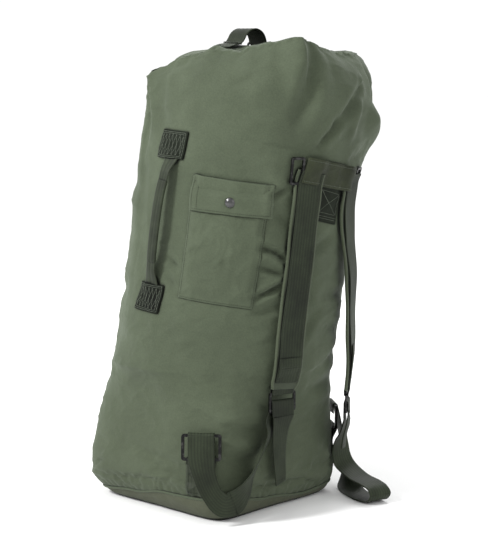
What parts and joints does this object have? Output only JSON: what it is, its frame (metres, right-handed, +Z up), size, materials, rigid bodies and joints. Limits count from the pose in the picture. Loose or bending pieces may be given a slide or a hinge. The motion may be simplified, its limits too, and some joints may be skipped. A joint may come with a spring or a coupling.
{
  "type": "duffel bag",
  "caption": "Tall top-loading canvas duffel bag with a square base, folded lugs over the mouth, flap pocket, side handle and adjustable shoulder straps.",
  "frame": {"origin": "middle of the base, on the floor that it stands on", "axes": "+Z up along the standing bag; -Y out of the pocket; +X towards the side with the shoulder straps"},
  "size_m": [0.5285, 0.4482, 0.8089],
  "materials": {
    "duck_cloth": "matte plain weave nylon",
    "pad_cloth": "satin nylon over foam",
    "webbing": "ribbed woven tape",
    "binding": "folded cloth binding",
    "black_metal": "semi-gloss black with worn edges"
  },
  "bodies": {
    "bag": {"body_shell": "duck_cloth", "bottom_panel": "duck_cloth", "bottom_welt": "binding", "pocket_body": "duck_cloth", "flap_seam_strip": "duck_cloth", "snap_stud": "black_metal", "handle_end_upper": "webbing", "handle_end_lower": "webbing", "yoke_anchor_webbing": "webbing", "yoke_band": "webbing", "anchor_tab_left": "webbing", "anchor_tab_right": "webbing", "lower_strap_left": "webbing", "lower_strap_right": "webbing"},
    "flap": {"pocket_flap": "duck_cloth", "snap_cap": "black_metal", "snap_socket": "black_metal"},
    "front_lug": {"lug_front": "duck_cloth", "grommet_front": "black_metal", "closure_patch": "webbing"},
    "right_lug": {"lug_right": "duck_cloth", "grommet_right": "black_metal"},
    "back_lug": {"lug_back": "duck_cloth", "grommet_back": "black_metal"},
    "left_lug": {"lug_left": "duck_cloth", "closure_staple": "black_metal"},
    "closure": {"closure_strap": "webbing", "snap_hook_body": "black_metal"},
    "hook_gate": {"snap_hook_gate": "black_metal"},
    "side_handle": {"handle_grip": "webbing"},
    "yoke_ring_l": {"yoke_ring_left": "black_metal"},
    "yoke_ring_r": {"yoke_ring_right": "black_metal"},
    "shoulder_strap_l": {"shoulder_pad_left": "pad_cloth", "pad_webbing_left": "webbing", "adjuster_frame_left": "black_metal", "strap_tail_left": "webbing"},
    "shoulder_strap_r": {"shoulder_pad_right": "pad_cloth", "pad_webbing_right": "webbing", "adjuster_frame_right": "black_metal", "strap_tail_right": "webbing"},
    "slider_bar_l": {"adjuster_bar_left": "black_metal"},
    "slider_bar_r": {"adjuster_bar_right": "black_metal"},
    "tie_ring_l": {"lower_ring_left": "black_metal"},
    "tie_ring_r": {"lower_ring_right": "black_metal"}
  },
  "joints": [
    {"name": "flap_hinge", "type": "hinge", "parent": "bag", "child": "flap", "pos_m": [0.04618, -0.1986, 0.5659], "axis": [-0.9938, 0.0256, 0.108], "range_deg": [0, 140]},
    {"name": "front_lug_hinge", "type": "hinge", "parent": "bag", "child": "front_lug", "pos_m": [0.03167, -0.09383, 0.769], "axis": [0.9205, -0.3907, 0], "range_deg": [0, 145]},
    {"name": "right_lug_hinge", "type": "hinge", "parent": "bag", "child": "right_lug", "pos_m": [0.17853, -0.0345, 0.761], "axis": [0.3907, 0.9205, 0], "range_deg": [0, 118]},
    {"name": "back_lug_hinge", "type": "hinge", "parent": "bag", "child": "back_lug", "pos_m": [0.1192, 0.11236, 0.769], "axis": [-0.9205, 0.3907, 0], "range_deg": [0, 145]},
    {"name": "left_lug_hinge", "type": "hinge", "parent": "bag", "child": "left_lug", "pos_m": [-0.02766, 0.05302, 0.761], "axis": [-0.3907, -0.9205, 0], "range_deg": [0, 118]},
    {"name": "closure_strap_lift", "type": "hinge", "parent": "front_lug", "child": "closure", "pos_m": [0.04496, -0.06254, 0.7724], "axis": [0.9205, -0.3907, 0], "range_deg": [0, 52]},
    {"name": "hook_gate_hinge", "type": "hinge", "parent": "closure", "child": "hook_gate", "pos_m": [0.07897, -0.00799, 0.7755], "axis": [0, 0, 1], "range_deg": [0, 28], "stiffness_Nm_per_rad": 0.02},
    {"name": "handle_flop", "type": "hinge", "parent": "bag", "child": "side_handle", "pos_m": [-0.06652, -0.14642, 0.585], "axis": [-0.1432, 0.0141, -0.9896], "range_deg": [-38, 38]},
    {"name": "yoke_ring_swing_left", "type": "hinge", "parent": "bag", "child": "yoke_ring_l", "pos_m": [0.15788, -0.16097, 0.58], "axis": [0.1015, -0.1892, 0.9767], "range_deg": [0, 80]},
    {"name": "yoke_ring_swing_right", "type": "hinge", "parent": "bag", "child": "yoke_ring_r", "pos_m": [0.23535, -0.05019, 0.555], "axis": [-0.2666, 0.0665, -0.9615], "range_deg": [0, 80]},
    {"name": "strap_swing_left", "type": "hinge", "parent": "bag", "child": "shoulder_strap_l", "pos_m": [0.16409, -0.14869, 0.544], "axis": [-0.7986, -0.6018, 0], "range_deg": [0, 25], "deforming": ["lower_strap_left"]},
    {"name": "strap_swing_right", "type": "hinge", "parent": "bag", "child": "shoulder_strap_r", "pos_m": [0.22587, -0.0605, 0.524], "axis": [-0.342, -0.9397, 0], "range_deg": [0, 25], "deforming": ["lower_strap_right"]},
    {"name": "slider_bar_travel_left", "type": "slide", "parent": "shoulder_strap_l", "child": "slider_bar_l", "axis": [0, 0, 1], "range_m": [-0.008, 0.008]},
    {"name": "slider_bar_travel_right", "type": "slide", "parent": "shoulder_strap_r", "child": "slider_bar_r", "axis": [0, 0, 1], "range_m": [-0.008, 0.008]},
    {"name": "tie_ring_swing_left", "type": "hinge", "parent": "bag", "child": "tie_ring_l", "pos_m": [-0.00222, -0.21562, 0.11162], "axis": [0.9997, 0.0262, 0], "range_deg": [0, 100], "deforming": ["lower_strap_left"]},
    {"name": "tie_ring_swing_right", "type": "hinge", "parent": "bag", "child": "tie_ring_r", "pos_m": [0.1967, 0.05384, 0.1115], "axis": [-0.2588, 0.9659, 0], "range_deg": [0, 100], "deforming": ["lower_strap_right"]}
  ],
  "couplings": [
    {"joint": "back_lug_hinge", "follows": "front_lug_hinge", "ratio": 1},
    {"joint": "right_lug_hinge", "follows": "front_lug_hinge", "ratio": 0.8},
    {"joint": "left_lug_hinge", "follows": "front_lug_hinge", "ratio": 0.8}
  ]
}
